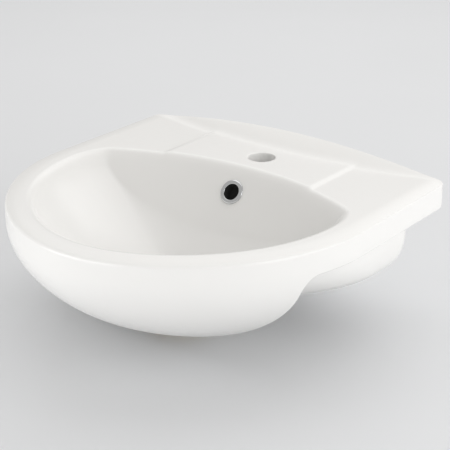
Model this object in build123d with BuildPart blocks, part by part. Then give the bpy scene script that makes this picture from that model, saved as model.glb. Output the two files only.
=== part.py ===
from build123d import *
import math
import os

# Semi-recessed vanity basin with overflow ring and click waste, in millimetres.
# X runs across, -Y out to the user and +Z up. The origin is the middle of the back edge,
# where the wall plane meets the counter top that the rim rests on.

os.makedirs("parts", exist_ok=True)

# Ceramic: rim and plan outline
rim_height = 34.0
rim_crown = 3.0
rim_crown_width = 18.0
back_half_width = 229.0
half_width = 232.0
shoulder_y = -193.0
front_y = -442.0
rim_corner_radius = 9.0
side_fullness = 0.60
front_fullness = 0.44
curve_samples = 60

# Ways that the edges of the ceramic's plan sections face, in degrees from the right, back to front
front_turns = [-7.5 * step for step in range(13)]
rim_turns = [90, 67.5, 45, 22.5, 0.891] + front_turns
body_turns = [90, 67.5, 45, 22.5] + front_turns
bowl_turns = [90, 75, 60, 45, 30, 15] + front_turns
ceramic_wall = 12.0

# Ceramic: front pod that stands out past the counter
pod_centre_y = -235.0
pod_top = 10.0
pod_bottom = -131.0
notch_y = -283.0
notch_radius = 20.0
pod_stations = [0.0, 0.2, 0.38, 0.54, 0.68, 0.8, 0.88, 0.94, 0.97]
pod_core_stations = [0.0, 0.38, 0.68, 0.88, 0.97]

# Ceramic: recessed body that drops into the counter cut-out
body_side_inset = 22.5
body_back_y = -34.0
body_corner_radius = 33.0
body_front_y = -408.0
body_depth = 79.0
body_foot_half_width = 94.5
body_stations = [0.0, 0.4, 0.66, 0.82, 0.9, 0.95]
body_core_stations = [0.0, 0.66, 0.82]

# Ceramic: bowl, its sloping back wall and the drain
bowl_half_width = 195.0
bowl_shoulder_y = -200.0
bowl_front_y = -412.0
bowl_rear_y = -80.0
bowl_depth = 116.0
bowl_floor_share = 0.15
bowl_stations = [0.14, 0.28, 0.42, 0.56, 0.7, 0.82, 0.92, 1.0]
shell_stations = [0.0, 0.28, 0.56, 0.82, 1.0]
bowl_lip = 4.0
back_wall_y = -115.0
back_wall_plan_radius = 390.0
back_wall_slope = 0.71
drain_y = -232.0
outlet_radius = 23.0
outlet_boss_radius = 42.0
outlet_foot = -113.0

# Ceramic: deck, tap hole and upstand
deck_thickness = 16.0
tap_hole_radius = 17.5
tap_hole_y = -67.0
tap_access_width = 180.0
tap_access_depth = 86.0
tap_access_corner = 20.0
platform_half_width = 112.0
platform_rise = 1.8
platform_front_y = -139.0
upstand_rise = 18.5
upstand_foot = 31.0
upstand_half_width = 215.0

# Overflow: hole, ring and the duct that leads its water to the outlet
overflow_drop = 22.0
overflow_hole_radius = 12.0
overflow_duct_width = 28.0
overflow_duct_depth = 11.0
overflow_duct_wall = 7.0
ring_radius = 15.9
ring_bore_radius = 10.5
ring_thickness = 2.6
ring_sleeve_length = 11.0
ring_clearance = 0.2

# Waste: flanged body with overflow slots, its seals and backnut
waste_flange_radius = 32.0
waste_flange_thickness = 4.0
waste_flange_bevel = 1.5
waste_tube_radius = 20.95
waste_bore_radius = 16.5
waste_length = 57.0
waste_tail_radius = 20.5
waste_tail_length = 9.0
waste_dish_radius = 28.0
waste_dish_depth = 2.5
waste_cone_radius = 22.0
waste_cone_depth = 7.0
slot_drop = 8.0
slot_height = 10.0
slot_width = 18.0
spider_height = 5.0
spider_arm = 3.0
spider_arms = 4
hub_radius = 8.0
hub_height = 6.0
stud_radius = 2.9
seal_thickness = 1.5
cone_washer_thickness = 7.0
cone_washer_nose = 4.0
slip_washer_thickness = 1.5
washer_radius = 31.0
thread_clearance = 0.1
backnut_across_flats = 54.0
backnut_thickness = 8.0

# Click plug: cap, seal, plunger, rotor, spring and cartridge
plug_travel = 8.0
plug_gap = 0.3
cap_radius = 26.5
cap_rim = 2.2
cap_dome = 2.4
cap_spigot_radius = 14.0
cap_spigot_length = 4.5
cap_hub_radius = 5.5
cap_hub_length = 10.0
plug_seal_radius = 19.8
plug_seal_thickness = 2.7
plug_seal_bevel = 1.2
stem_radius = 3.0
stem_engagement = 8.0
cartridge_radius = 7.5
cartridge_bore_radius = 5.5
cartridge_floor = 2.5
collar_thickness = 3.0
running_clearance = 0.08
plunger_head_height = 5.0
plunger_pin_radius = 2.0
rotor_height = 3.5
rotor_teeth = 8
tooth_depth = 0.8
tooth_width = 0.9
spring_wire_radius = 0.35
spring_turns = 5
coil_steps = 10


# Heights that the pieces share
bowl_floor = rim_height - bowl_depth
flange_recess_depth = waste_flange_thickness + seal_thickness
flange_seat = bowl_floor - flange_recess_depth
deck_underside = rim_height - deck_thickness
body_half_width = half_width - body_side_inset
wall_slant = math.hypot(1.0, back_wall_slope)
side_lean = (half_width - back_half_width) / -shoulder_y


def cubic_points(start, start_pull, end_pull, end):
    """Closely spaced points along a cubic curve."""
    points = []
    for step in range(curve_samples + 1):
        share = step / curve_samples
        rest = 1 - share
        weights = (rest**3, 3 * rest**2 * share, 3 * rest * share**2, share**3)
        pulls = (start, start_pull, end_pull, end)
        points.append((
            sum(weight * pull[0] for weight, pull in zip(weights, pulls)),
            sum(weight * pull[1] for weight, pull in zip(weights, pulls)),
        ))
    return points


def arc_points(centre_x, centre_y, reach_x, reach_y):
    """Closely spaced points along a quarter of an ellipse, from its back round to its side."""
    points = []
    for step in range(curve_samples + 1):
        angle = math.pi / 2 * (1 - step / curve_samples)
        points.append((centre_x + reach_x * math.cos(angle), centre_y + reach_y * math.sin(angle)))
    return points


def flat_sided(height, turns, right_side):
    """Height and corners of a mirrored section, whose edges face the stated ways and touch a curve.

    Sections with the same turns have parallel edges, so the faces between them are flat.
    """
    facings = [(math.cos(math.radians(turn)), math.sin(math.radians(turn))) for turn in turns]
    reaches = [max(x * way_x + y * way_y for x, y in right_side) for way_x, way_y in facings]
    corners = []
    for (first, second), (near, far) in zip(zip(facings, facings[1:]), zip(reaches, reaches[1:])):
        cross = first[0] * second[1] - first[1] * second[0]
        corners.append((
            (near * second[1] - far * first[1]) / cross,
            (far * first[0] - near * second[0]) / cross,
        ))
    return height, corners + [(-x, y) for x, y in reversed(corners)]


def raised(section, amount):
    """The same section moved up."""
    height, corners = section
    return height + amount, corners


def flat_stack(sections):
    """Solid whose flat faces join a stack of flat-sided sections."""
    rings = [[(x, y, height) for x, y in corners] for height, corners in sections]
    faces = [Face(Wire.make_polygon(rings[0])), Face(Wire.make_polygon(rings[-1]))]
    for lower, upper in zip(rings, rings[1:]):
        for side in range(len(lower)):
            ring = [lower[side - 1], lower[side], upper[side], upper[side - 1]]
            faces.append(Face(Wire.make_polygon(ring)))
    return Solid(Shell(faces))


def front_points(half, shoulder, front):
    """Right side of the curved front, from the shoulder to the middle."""
    side_pull = shoulder - side_fullness * (shoulder - front)
    return cubic_points((half, shoulder), (half, side_pull), (front_fullness * half, front), (0, front))


def d_section(height, half, back, corner, shoulder, front):
    """D shape of the rim and the pod: straight back, round corners, leaning sides, curved front."""
    back_half = half - side_lean * (back - shoulder)
    corner_x = back_half - corner
    right_side = [(0, back)] + arc_points(corner_x, back - corner, corner, corner)
    right_side += front_points(half, shoulder, front)
    return flat_sided(height, rim_turns, right_side)


def pod_section(share, inset):
    """Plan of the pod at a share of its depth; a superellipse gives its belly."""
    across = (1 - share**2.0) ** 0.6
    along = (1 - share**1.8) ** 0.7
    height = pod_top + (pod_bottom + inset - pod_top) * share
    half = (half_width - inset) * across
    shoulder = pod_centre_y + (shoulder_y - pod_centre_y) * along
    front = pod_centre_y + (front_y + inset - pod_centre_y) * along
    return d_section(height, half, 0, rim_corner_radius, shoulder, front)


def body_section(share, inset, height):
    """Plan of the recessed body at a share of its depth; its foot turns under."""
    across = (1 - share**4.2) ** 0.27
    along = 1 - share**1.4
    foot = body_foot_half_width
    half = foot + (body_half_width - foot) * across - inset
    back = body_back_y - 90 * (1 - across) - inset
    corner = body_corner_radius - inset
    shoulder = min(-190 + 110 * share, back - corner - 2)
    front = pod_centre_y + (body_front_y - pod_centre_y) * along + inset
    right_side = arc_points(half - corner, back - corner, corner, corner) + front_points(half, shoulder, front)
    return flat_sided(height, body_turns, right_side)


def bowl_section(share, wall):
    """Plan of the bowl at a share of its depth: curved front, half ellipse behind."""
    size = 1 - (1 - bowl_floor_share) * share**1.45
    height = rim_height - (bowl_depth + wall) * share
    half = bowl_half_width * size + wall
    shoulder = drain_y + (bowl_shoulder_y - drain_y) * size
    front = drain_y + (bowl_front_y - drain_y) * size - wall
    rear = drain_y + (bowl_rear_y - drain_y) * size + wall
    right_side = arc_points(0, shoulder, half, rear - shoulder) + front_points(half, shoulder, front)
    return flat_sided(height, bowl_turns, right_side)


def back_wall_prism(top, bottom, wall):
    """Everything in front of the bowl's sloping back wall, as a slanted cylinder."""
    top_y = back_wall_y - back_wall_plan_radius + back_wall_slope * (top - rim_height + 5)
    with BuildPart() as prism:
        with BuildSketch(Plane.XY.offset(top)):
            with Locations((0, top_y)):
                Circle(back_wall_plan_radius + wall * wall_slant)
        extrude(amount=(top - bottom) * wall_slant, dir=(0, -back_wall_slope, -1))
    return prism.part


def wall_y(height):
    """Y of the bowl's back wall on the centre line."""
    return back_wall_y + back_wall_slope * (height - rim_height + 5)


# Bowl hollow and the ceramic shell around it
lip_share = bowl_lip / bowl_depth
with BuildPart() as bowl_hollow:
    add(flat_stack([bowl_section(share, 0) for share in [lip_share] + bowl_stations]))
    add(back_wall_prism(rim_height - bowl_lip, flange_seat, 0), mode=Mode.INTERSECT)

# Bowl's leaning lip, carried on upward to clear the platform
lip_circles = []
for lip_height, lip_growth in [(rim_height - bowl_lip, 0), (rim_height, bowl_lip)]:
    with BuildSketch(Plane.XY.offset(lip_height)) as lip_circle:
        with Locations((0, wall_y(lip_height) - back_wall_plan_radius)):
            Circle(back_wall_plan_radius + lip_growth)
    lip_circles.append(lip_circle.sketch)

with BuildPart() as lip_reach:
    loft(sections=lip_circles, ruled=True)
    extrude(lip_circles[-1], amount=platform_rise + 1)

with BuildPart() as lip_hollow:
    add(flat_stack([bowl_section(lip_share, 0), bowl_section(0, bowl_lip),
                    raised(bowl_section(0, bowl_lip), platform_rise + 1)]))
    add(lip_reach.part, mode=Mode.INTERSECT)

with BuildPart() as bowl_shell:
    add(flat_stack([bowl_section(share, ceramic_wall) for share in shell_stations]))
    add(back_wall_prism(rim_height, bowl_floor - 3 * ceramic_wall, ceramic_wall), mode=Mode.INTERSECT)

# Overflow duct, cast behind the back wall from the ring down to the outlet
duct_top = rim_height - overflow_drop
duct_foot = flange_seat - slot_drop - slot_height
duct_front = overflow_duct_wall * wall_slant
duct_back = (overflow_duct_wall + overflow_duct_depth) * wall_slant
rib_back = duct_back + overflow_duct_wall * wall_slant
outlet_back_y = drain_y + outlet_radius

with BuildPart() as overflow_duct:
    with BuildSketch(Plane.YZ):
        with BuildLine():
            Polyline(
                (wall_y(duct_top) + duct_front, duct_top),
                (wall_y(duct_top) + duct_back, duct_top),
                (wall_y(duct_foot) + duct_back, duct_foot),
                (outlet_back_y - 6, duct_foot),
                (outlet_back_y - 6, duct_foot + slot_height),
                (wall_y(duct_foot + slot_height) + duct_front, duct_foot + slot_height),
                close=True,
            )
        make_face()
    extrude(amount=overflow_duct_width / 2, both=True)

with BuildPart() as duct_rib:
    with BuildSketch(Plane.YZ):
        with BuildLine():
            Polyline(
                (wall_y(duct_top + overflow_duct_wall), duct_top + overflow_duct_wall),
                (wall_y(duct_top + overflow_duct_wall) + rib_back, duct_top + overflow_duct_wall),
                (wall_y(duct_foot) + rib_back, duct_foot - overflow_duct_wall),
                (drain_y, duct_foot - overflow_duct_wall),
                (drain_y, bowl_floor),
                (wall_y(bowl_floor), bowl_floor),
                close=True,
            )
        make_face()
    extrude(amount=overflow_duct_width / 2 + overflow_duct_wall, both=True)

with BuildPart() as outlet_boss:
    with BuildSketch(Plane.XY.offset(outlet_foot)):
        with Locations((0, drain_y)):
            Circle(outlet_boss_radius)
    extrude(amount=bowl_floor - outlet_foot)

# Plane of the overflow ring, flat on the back wall and facing into the bowl
ring_height = rim_height - 5 - overflow_drop
ring_plane = Plane(
    origin=(0, wall_y(ring_height), ring_height),
    x_dir=(1, 0, 0),
    z_dir=(0, -1, back_wall_slope),
)

# Raised tap platform, whose front edge stays behind the bowl's lip
with BuildPart() as platform:
    with BuildSketch(Plane.XY.offset(rim_height)):
        with Locations((0, -2)):
            Rectangle(2 * platform_half_width, -platform_front_y, align=(Align.CENTER, Align.MAX))
    extrude(amount=platform_rise, taper=50)
    add(back_wall_prism(rim_height + 5, rim_height - 5, bowl_lip + 1), mode=Mode.SUBTRACT)

# Upstand along the wall: part of a wide cone, so its crown is an arc and its foot a crescent
cone_radius = (upstand_half_width**2 + upstand_foot**2) / (2 * upstand_foot)
cone_slope = upstand_foot / upstand_rise
with BuildPart() as upstand:
    with Locations((0, cone_radius - upstand_foot, rim_height - rim_crown)):
        Cone(cone_radius + rim_crown * cone_slope, cone_radius - upstand_foot - 1,
             upstand_rise + rim_crown + 1 / cone_slope, align=(Align.CENTER, Align.CENTER, Align.MIN))
    add(flat_stack([pod_section(0, 0), raised(pod_section(0, 0), 4 * rim_height)]), mode=Mode.INTERSECT)

# Front pod, cut back to the counter's front edge
with BuildPart() as counter_block:
    with BuildSketch(Plane.YZ):
        with BuildLine():
            Polyline((notch_y, 0), (20, 0), (20, -300), (notch_y, -300), close=True)
        make_face()
        fillet(vertices().group_by(Axis.Y)[-1].sort_by(Axis.X)[0], notch_radius)
    extrude(amount=2 * half_width, both=True)

# Hollow underside: inside the recessed body, under the deck and inside the pod
core_drop = 2.0
with BuildPart() as underside_core:
    add(flat_stack([body_section(share, ceramic_wall, -core_drop - (body_depth - ceramic_wall) * share)
                    for share in body_core_stations]))
    add(flat_stack([body_section(body_stations[-1], ceramic_wall, -body_depth / 2),
                    body_section(body_stations[-1], ceramic_wall, -1.5 * body_depth)]))
    with BuildSketch(Plane.XY.offset(-core_drop - 8)) as deck_core:
        with Locations((0, body_back_y - ceramic_wall)):
            Rectangle(2 * (body_half_width - 2 * ceramic_wall), 70, align=(Align.CENTER, Align.MAX))
    extrude(amount=deck_underside + core_drop + 8)
    with BuildSketch(Plane.XY.offset(-core_drop - 8)) as tap_access:
        with Locations((0, body_back_y - ceramic_wall - tap_access_depth / 2)):
            RectangleRounded(tap_access_width, tap_access_depth, tap_access_corner)
    extrude(amount=-2 * body_depth)
    add(bowl_shell.part, mode=Mode.SUBTRACT)
    add(outlet_boss.part, mode=Mode.SUBTRACT)
    add(duct_rib.part, mode=Mode.SUBTRACT)

with BuildPart() as pod_core:
    add(flat_stack([pod_section(share, ceramic_wall) for share in pod_core_stations]))
    with BuildSketch(Plane.XZ.offset(-notch_y + ceramic_wall)) as pod_reach:
        with Locations((0, -core_drop - 8)):
            Rectangle(2 * half_width, -pod_bottom, align=(Align.CENTER, Align.MAX))
    extrude(amount=-front_y, mode=Mode.INTERSECT)
    add(bowl_shell.part, mode=Mode.SUBTRACT)

with BuildPart() as basin_body:
    add(flat_stack([pod_section(share, 0) for share in pod_stations]))
    add(counter_block.part, mode=Mode.SUBTRACT)
    add(flat_stack([pod_section(0, 0), raised(pod_section(0, 0), rim_height - rim_crown - pod_top)]))
    add(flat_stack([body_section(share, 0, -body_depth * share) for share in body_stations]))
    add(flat_stack([
        d_section(rim_height - rim_crown, half_width, 0, rim_corner_radius, shoulder_y, front_y),
        d_section(rim_height, half_width - rim_crown_width, 0, rim_corner_radius, shoulder_y,
                  front_y + rim_crown_width),
    ]))
    add(underside_core.part, mode=Mode.SUBTRACT)
    add(pod_core.part, mode=Mode.SUBTRACT)
    add(bowl_shell.part)
    add(outlet_boss.part)
    add(duct_rib.part)
    add(bowl_hollow.part, mode=Mode.SUBTRACT)
    add(lip_hollow.part, mode=Mode.SUBTRACT)
    # Tap platform, a low step with leaning sides
    add(platform.part)
    add(upstand.part)
    # Tap hole, outlet, flange recess and overflow
    with Locations((0, tap_hole_y, deck_underside)):
        Cylinder(tap_hole_radius, 2 * deck_thickness, align=(Align.CENTER, Align.CENTER, Align.MIN),
                 mode=Mode.SUBTRACT)
    with Locations((0, drain_y, outlet_foot)):
        Cylinder(outlet_radius, -outlet_foot, align=(Align.CENTER, Align.CENTER, Align.MIN),
                 mode=Mode.SUBTRACT)
    with Locations((0, drain_y, flange_seat)):
        Cylinder(waste_flange_radius + 1, 2 * flange_recess_depth, align=(Align.CENTER, Align.CENTER, Align.MIN),
                 mode=Mode.SUBTRACT)
    add(overflow_duct.part, mode=Mode.SUBTRACT)
    with Locations(ring_plane.location):
        Cylinder(overflow_hole_radius, 2 * overflow_duct_wall + overflow_duct_depth, mode=Mode.SUBTRACT)
        Cylinder(ring_radius + 0.6, 10, align=(Align.CENTER, Align.CENTER, Align.MIN), mode=Mode.SUBTRACT)
basin_body.part.label = "basin_body"
export_step(basin_body.part, "parts/basin_body.step")


# Overflow ring: a flange on the back wall and a ribbed sleeve in the hole
sleeve_radius = overflow_hole_radius - ring_clearance
ring_profile_plane = Plane(origin=ring_plane.origin, x_dir=(1, 0, 0), z_dir=-ring_plane.y_dir)
with BuildPart() as overflow_ring:
    with BuildSketch(ring_profile_plane):
        with BuildLine():
            Polyline(
                (ring_bore_radius, ring_thickness - 1.0),
                (ring_bore_radius, -ring_sleeve_length),
                (sleeve_radius, -ring_sleeve_length),
                (sleeve_radius, 0),
                (ring_radius, 0),
                (ring_radius, ring_thickness - 1.4),
                (ring_radius - 1.8, ring_thickness),
                (ring_bore_radius + 1.4, ring_thickness),
                close=True,
            )
        make_face()
    revolve(axis=Axis(ring_plane.origin, ring_plane.z_dir))
overflow_ring.part.label = "overflow_ring"
export_step(overflow_ring.part, "parts/overflow_ring.step")


# Everything of the waste is turned about the drain's own axis
drain_axis = Axis((0, drain_y, 0), (0, 0, 1))
drain_plane = Plane.XZ.offset(-drain_y)
flange_top = bowl_floor
flange_underside = flange_top - waste_flange_thickness
dish_floor = flange_top - waste_dish_depth
cone_foot = flange_top - waste_cone_depth
tail_end = flange_top - waste_length
slot_top = flange_seat - slot_drop
cap_underside = dish_floor + plug_gap + plug_travel
cap_crown = cap_underside + cap_rim + cap_dome
hub_end = cap_underside - cap_hub_length
cartridge_top = hub_end - plug_travel - 1
collar_underside = cartridge_top - collar_thickness
head_top = collar_underside - plug_gap
rotor_top = head_top - plunger_head_height - plug_gap
rotor_underside = rotor_top - rotor_height
spring_solid = (spring_turns + 1) * 2 * spring_wire_radius
cartridge_floor_top = rotor_underside - plug_travel - spring_solid - plug_gap
cartridge_end = cartridge_floor_top - cartridge_floor


# Waste body: dished flange, slotted tube, spider with its stud, plain tail for the trap
with BuildPart() as waste_body:
    with BuildSketch(drain_plane):
        with BuildLine():
            Polyline(
                (waste_bore_radius, cone_foot),
                (waste_bore_radius, tail_end),
                (waste_tail_radius, tail_end),
                (waste_tail_radius, tail_end + waste_tail_length),
                (waste_tube_radius, tail_end + waste_tail_length),
                (waste_tube_radius, flange_underside),
                (waste_flange_radius, flange_underside),
                (waste_flange_radius, flange_top - waste_flange_bevel),
                (waste_flange_radius - 2 * waste_flange_bevel, flange_top),
                (waste_dish_radius, flange_top),
                (waste_dish_radius - 0.5, dish_floor),
                (waste_cone_radius, dish_floor),
                close=True,
            )
        make_face()
    revolve(axis=drain_axis)
    with BuildSketch(Plane.XZ):
        with Locations((0, slot_top - slot_height / 2)):
            SlotOverall(slot_width, slot_height)
    extrude(amount=-2 * drain_y, mode=Mode.SUBTRACT)
    with Locations((0, drain_y, cartridge_end - hub_height)):
        Cylinder(hub_radius, hub_height, align=(Align.CENTER, Align.CENTER, Align.MIN))
        Cylinder(stud_radius, hub_height + cartridge_floor, align=(Align.CENTER, Align.CENTER, Align.MIN))
        with PolarLocations(0, spider_arms):
            Box(waste_bore_radius + 1, spider_arm, spider_height, align=(Align.MIN, Align.CENTER, Align.MIN))
waste_body.part.label = "waste_body"
export_step(waste_body.part, "parts/waste_body.step")

# Seal between the flange and the ceramic seat
with BuildPart() as flange_seal:
    with BuildSketch(Plane.XY.offset(flange_seat)):
        with Locations((0, drain_y)):
            Circle(waste_flange_radius - 0.5)
            Circle(outlet_radius + ring_clearance, mode=Mode.SUBTRACT)
    extrude(amount=seal_thickness)
flange_seal.part.label = "flange_seal"
export_step(flange_seal.part, "parts/flange_seal.step")

# Tapered rubber washer that centres the tube in the outlet from below
thread_radius = waste_tube_radius + thread_clearance
with BuildPart() as cone_washer:
    with BuildSketch(drain_plane):
        with BuildLine():
            Polyline(
                (thread_radius, outlet_foot - cone_washer_thickness),
                (washer_radius, outlet_foot - cone_washer_thickness),
                (washer_radius - 2, outlet_foot),
                (outlet_radius - ring_clearance, outlet_foot),
                (thread_radius, outlet_foot + cone_washer_nose),
                close=True,
            )
        make_face()
    revolve(axis=drain_axis)
cone_washer.part.label = "cone_washer"
export_step(cone_washer.part, "parts/cone_washer.step")

# Flat slip washer between the rubber and the nut
slip_washer_top = outlet_foot - cone_washer_thickness
with BuildPart() as slip_washer:
    with BuildSketch(Plane.XY.offset(slip_washer_top)):
        with Locations((0, drain_y)):
            Circle(washer_radius)
            Circle(thread_radius, mode=Mode.SUBTRACT)
    extrude(amount=-slip_washer_thickness)
slip_washer.part.label = "slip_washer"
export_step(slip_washer.part, "parts/slip_washer.step")

# Hexagon backnut with a washer face
backnut_top = slip_washer_top - slip_washer_thickness
with BuildPart() as backnut:
    with BuildSketch(Plane.XY.offset(backnut_top)):
        with Locations((0, drain_y)):
            RegularPolygon(backnut_across_flats / 2, 6, major_radius=False)
    extrude(amount=-backnut_thickness)
    chamfer(faces().sort_by(Axis.Z)[0].edges(), 1.2)
    with Locations((0, drain_y, backnut_top)):
        Cylinder(thread_radius, 2 * backnut_thickness, mode=Mode.SUBTRACT)
backnut.part.label = "backnut"
export_step(backnut.part, "parts/backnut.step")

# Plug cap: domed disc with a spigot for its seal and a hub for the stem
with BuildPart() as plug_cap:
    with BuildSketch(drain_plane):
        with BuildLine():
            Polyline(
                (0, cap_crown),
                (0, hub_end),
                (cap_hub_radius, hub_end),
                (cap_hub_radius, cap_underside - cap_spigot_length),
                (cap_spigot_radius, cap_underside - cap_spigot_length),
                (cap_spigot_radius, cap_underside),
                (cap_radius, cap_underside),
                (cap_radius, cap_underside + cap_rim),
                (0.6 * cap_radius, cap_underside + cap_rim + 0.64 * cap_dome),
                close=True,
            )
        make_face()
    revolve(axis=drain_axis)
    with Locations((0, drain_y, hub_end)):
        Cylinder(stem_radius + thread_clearance, stem_engagement + 1,
                 align=(Align.CENTER, Align.CENTER, Align.MIN), mode=Mode.SUBTRACT)
plug_cap.part.label = "plug_cap"
export_step(plug_cap.part, "parts/plug_cap.step")

# Rubber ring on the cap's spigot that closes on the flange's cone
with BuildPart() as plug_seal:
    with BuildSketch(drain_plane):
        with BuildLine():
            Polyline(
                (cap_spigot_radius + thread_clearance, cap_underside),
                (cap_spigot_radius + thread_clearance, cap_underside - plug_seal_thickness),
                (plug_seal_radius - plug_seal_bevel, cap_underside - plug_seal_thickness),
                (plug_seal_radius, cap_underside),
                close=True,
            )
        make_face()
    revolve(axis=drain_axis)
plug_seal.part.label = "plug_seal"
export_step(plug_seal.part, "parts/plug_seal.step")

# Cartridge: sleeve screwed on the spider's stud, closed by a guide collar
with BuildPart() as cartridge_sleeve:
    with Locations((0, drain_y, cartridge_end)):
        Cylinder(cartridge_radius, cartridge_top - cartridge_end,
                 align=(Align.CENTER, Align.CENTER, Align.MIN))
    with Locations((0, drain_y, cartridge_floor_top)):
        Cylinder(cartridge_bore_radius, cartridge_top - cartridge_floor_top,
                 align=(Align.CENTER, Align.CENTER, Align.MIN), mode=Mode.SUBTRACT)
    with Locations((0, drain_y, cartridge_end)):
        Cylinder(stud_radius + thread_clearance, 2 * cartridge_floor, mode=Mode.SUBTRACT)
cartridge_sleeve.part.label = "cartridge_sleeve"
export_step(cartridge_sleeve.part, "parts/cartridge_sleeve.step")

with BuildPart() as guide_collar:
    with BuildSketch(Plane.XY.offset(cartridge_top)):
        with Locations((0, drain_y)):
            Circle(cartridge_bore_radius)
            Circle(stem_radius + running_clearance, mode=Mode.SUBTRACT)
    extrude(amount=-collar_thickness)
guide_collar.part.label = "guide_collar"
export_step(guide_collar.part, "parts/guide_collar.step")

# Plunger: stem, head with ratchet notches and the pin that the rotor turns on
with BuildPart() as plunger:
    with Locations((0, drain_y, head_top)):
        Cylinder(stem_radius, hub_end + stem_engagement - head_top,
                 align=(Align.CENTER, Align.CENTER, Align.MIN))
        Cylinder(cartridge_bore_radius - running_clearance, plunger_head_height,
                 align=(Align.CENTER, Align.CENTER, Align.MAX))
    with Locations((0, drain_y, head_top - plunger_head_height)):
        with PolarLocations(0, rotor_teeth):
            Box(cartridge_bore_radius, tooth_width, 2 * tooth_depth,
                align=(Align.MIN, Align.CENTER, Align.CENTER), mode=Mode.SUBTRACT)
        Cylinder(plunger_pin_radius, rotor_height + plug_gap, align=(Align.CENTER, Align.CENTER, Align.MAX))
plunger.part.label = "plunger"
export_step(plunger.part, "parts/plunger.step")

# Rotor: toothed ring that turns half a tooth each time the cap is pressed
with BuildPart() as click_rotor:
    with BuildSketch(Plane.XY.offset(rotor_underside)):
        with Locations((0, drain_y)):
            Circle(cartridge_bore_radius - running_clearance)
            Circle(plunger_pin_radius + running_clearance, mode=Mode.SUBTRACT)
    extrude(amount=rotor_height)
    with Locations((0, drain_y, rotor_top)):
        with PolarLocations(0, rotor_teeth):
            Box(cartridge_bore_radius, tooth_width, 2 * tooth_depth,
                align=(Align.MIN, Align.CENTER, Align.CENTER), mode=Mode.SUBTRACT)
click_rotor.part.label = "click_rotor"
export_step(click_rotor.part, "parts/click_rotor.step")

# Spring under the rotor
spring_length = rotor_underside - cartridge_floor_top - 2 * spring_wire_radius - 2 * thread_clearance
spring_radius = (plunger_pin_radius + cartridge_bore_radius) / 2 + spring_wire_radius
spring_foot = cartridge_floor_top + spring_wire_radius + thread_clearance


def wire_section(turns):
    """Square section of the wire after a number of turns."""
    angle = 2 * math.pi * turns
    outward = (math.cos(angle), math.sin(angle), 0)
    along = (-2 * math.pi * spring_radius * math.sin(angle), 2 * math.pi * spring_radius * math.cos(angle),
             spring_length / spring_turns)
    middle = (spring_radius * outward[0], drain_y + spring_radius * outward[1],
              spring_foot + spring_length * turns / spring_turns)
    with BuildSketch(Plane(origin=middle, x_dir=outward, z_dir=along)) as section:
        Rectangle(1.8 * spring_wire_radius, 1.8 * spring_wire_radius)
    return section.sketch


with BuildPart() as click_spring:
    loft(sections=[wire_section(step / coil_steps) for step in range(coil_steps * spring_turns + 1)],
         ruled=True)
click_spring.part.label = "click_spring"
export_step(click_spring.part, "parts/click_spring.step")
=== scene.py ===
import logging
import math
from dataclasses import dataclass
from enum import Enum

import bmesh
import bpy
import numpy as np
from mathutils import Matrix


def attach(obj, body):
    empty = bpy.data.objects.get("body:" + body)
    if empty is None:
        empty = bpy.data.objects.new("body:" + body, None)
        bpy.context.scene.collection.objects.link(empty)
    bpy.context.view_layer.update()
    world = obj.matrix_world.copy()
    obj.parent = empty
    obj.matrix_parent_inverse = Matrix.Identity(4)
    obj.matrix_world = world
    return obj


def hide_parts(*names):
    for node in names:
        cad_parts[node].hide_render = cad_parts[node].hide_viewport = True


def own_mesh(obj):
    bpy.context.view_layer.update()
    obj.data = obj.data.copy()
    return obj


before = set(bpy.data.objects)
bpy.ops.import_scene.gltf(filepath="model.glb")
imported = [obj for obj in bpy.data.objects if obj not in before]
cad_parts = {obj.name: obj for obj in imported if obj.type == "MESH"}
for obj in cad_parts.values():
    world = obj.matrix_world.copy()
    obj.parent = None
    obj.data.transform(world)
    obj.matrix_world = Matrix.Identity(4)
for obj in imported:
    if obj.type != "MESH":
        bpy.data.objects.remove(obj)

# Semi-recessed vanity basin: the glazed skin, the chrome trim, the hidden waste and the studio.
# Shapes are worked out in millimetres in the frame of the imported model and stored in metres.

LOG = logging.getLogger("basin")
METRES = 0.001
WELD_DISTANCE = 2e-5

RIM_TOP = 34.0
SIDE_FULLNESS = 0.60
FRONT_FULLNESS = 0.44
DRAIN_Y = -232.0


class Body(Enum):
    """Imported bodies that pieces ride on."""

    BASIN = "basin"
    PLUG = "plug"
    ROTOR = "rotor"


def smoothstep(value: np.ndarray) -> np.ndarray:
    """Ease from 0 to 1 with level ends.

    Args:
        value: Numbers that are clipped to 0 and 1.

    Returns:
        Three times the square less twice the cube.
    """
    t = np.clip(value, 0.0, 1.0)
    return t * t * (3.0 - 2.0 * t)


def smooth_min(first: np.ndarray, second: np.ndarray, width: np.ndarray | float) -> np.ndarray:
    """Lower of two fields, rounded over the width where they cross.

    Args:
        first: One field.
        second: The other field.
        width: Difference under which the two are blended.

    Returns:
        The minimum, less a quarter of the width at the crossing.
    """
    share = np.maximum(width - np.abs(first - second), 0.0) / width
    return np.minimum(first, second) - share * share * width / 4.0


def arclength(points: np.ndarray) -> np.ndarray:
    """Distance travelled along a polyline.

    Args:
        points: Array whose last axis holds coordinates and whose first runs along the line.

    Returns:
        Array of the running length, starting at 0.
    """
    steps = np.linalg.norm(np.diff(points, axis=0), axis=-1)
    return np.concatenate([np.zeros((1,) + steps.shape[1:]), np.cumsum(steps, axis=0)])


def travel(points: np.ndarray, distances: np.ndarray) -> np.ndarray:
    """Points of a polyline at given distances from its start.

    Args:
        points: Polyline, one row a point.
        distances: Lengths from the first point.

    Returns:
        One row a distance.
    """
    run = arclength(points)
    return np.stack([np.interp(distances, run, points[:, axis]) for axis in range(points.shape[1])], axis=1)


def resample(points: np.ndarray, count: int, start: float = 0.0) -> np.ndarray:
    """Even spacing along a polyline.

    Args:
        points: Polyline, one row a point.
        count: Number of points wanted.
        start: Length to leave out at the beginning.

    Returns:
        Points that are evenly spaced from start to the end.
    """
    return travel(points, np.linspace(start, arclength(points)[-1], count))


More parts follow.
